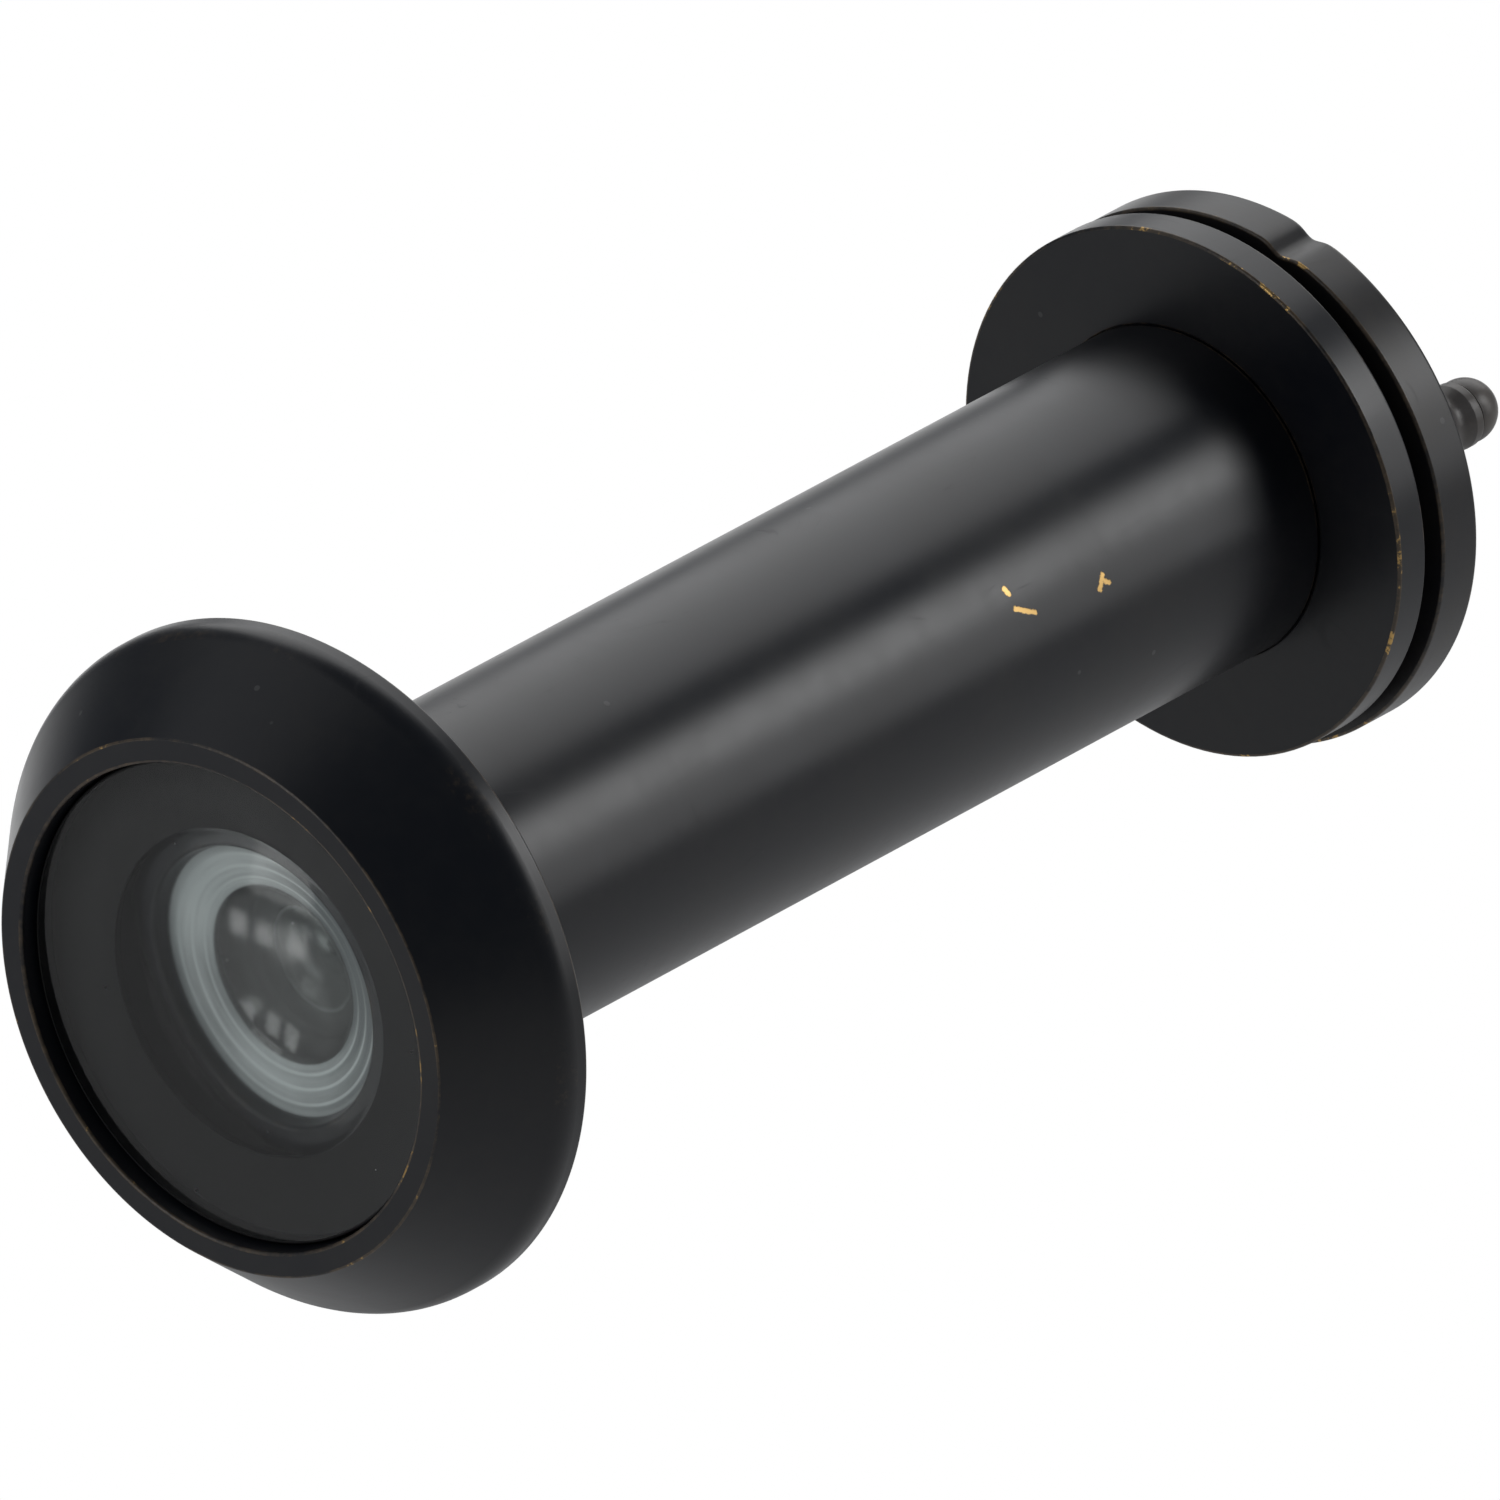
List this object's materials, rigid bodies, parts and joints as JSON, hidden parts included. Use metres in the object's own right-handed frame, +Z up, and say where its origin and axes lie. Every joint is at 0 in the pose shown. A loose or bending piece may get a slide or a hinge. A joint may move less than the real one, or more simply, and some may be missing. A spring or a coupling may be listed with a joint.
{
  "type": "door viewer",
  "caption": "Wide-angle door viewer with a bevelled outdoor head, a screw-adjusted barrel and a swivel privacy cover with a small ball knob.",
  "frame": {"origin": "on the barrel's axis, in the plane where the outdoor flange seats on the door's outer face", "axes": "+Y along the barrel from outdoors to indoors, +Z up as installed, +X to the right seen from outdoors"},
  "size_m": [0.0284, 0.0668, 0.0284],
  "materials": {
    "bronzed_brass": "oil-rubbed bronze, near black, satin gloss, brass showing on worn edges",
    "tube_bronze": "oil-rubbed bronze, near black, satin gloss, brass showing on worn edges",
    "cover_bronze": "oil-rubbed bronze, slightly browner, brass showing on worn edges",
    "knob_bronze": "oil-rubbed bronze, glossy from handling",
    "screw_bronze": "oil-rubbed bronze, satin",
    "blackened_brass": "matt black, against stray light",
    "optical_glass": "polished, with ground flats around the dished faces",
    "ocular_glass": "polished",
    "black_gasket": "matt",
    "spring_steel": "bright"
  },
  "bodies": {
    "outdoor_assembly": {"outer_barrel": "bronzed_brass", "front_lens": "optical_glass", "front_lens_gasket": "black_gasket", "second_lens": "optical_glass", "lens_spacer": "blackened_brass", "aperture_stop": "blackened_brass", "third_lens": "optical_glass", "lens_retaining_ring": "blackened_brass"},
    "eyepiece_optics": {"ocular_lens": "ocular_glass", "ocular_gasket": "black_gasket", "ocular_retaining_ring": "blackened_brass"},
    "inner_tube": {"inner_tube": "tube_bronze", "pivot_screw": "screw_bronze", "spring_washer": "spring_steel"},
    "privacy_cover": {"cover": "cover_bronze", "cover_knob": "knob_bronze"}
  },
  "joints": [
    {"name": "tube_travel", "type": "slide", "parent": "outdoor_assembly", "child": "eyepiece_optics", "axis": [0, 1, 0], "range_m": [0, 0.022]},
    {"name": "tube_turn", "type": "hinge", "parent": "eyepiece_optics", "child": "inner_tube", "pos_m": [0, 0.053, 0], "axis": [0, 1, 0], "range_deg": [0, 7920]},
    {"name": "cover_swing", "type": "hinge", "parent": "inner_tube", "child": "privacy_cover", "pos_m": [-0.00748, 0.0564, -0.00336], "axis": [0, 1, 0], "continuous": true}
  ],
  "couplings": [
    {"joint": "tube_travel", "follows": "tube_turn", "m_per_rad": 0.00015915}
  ]
}
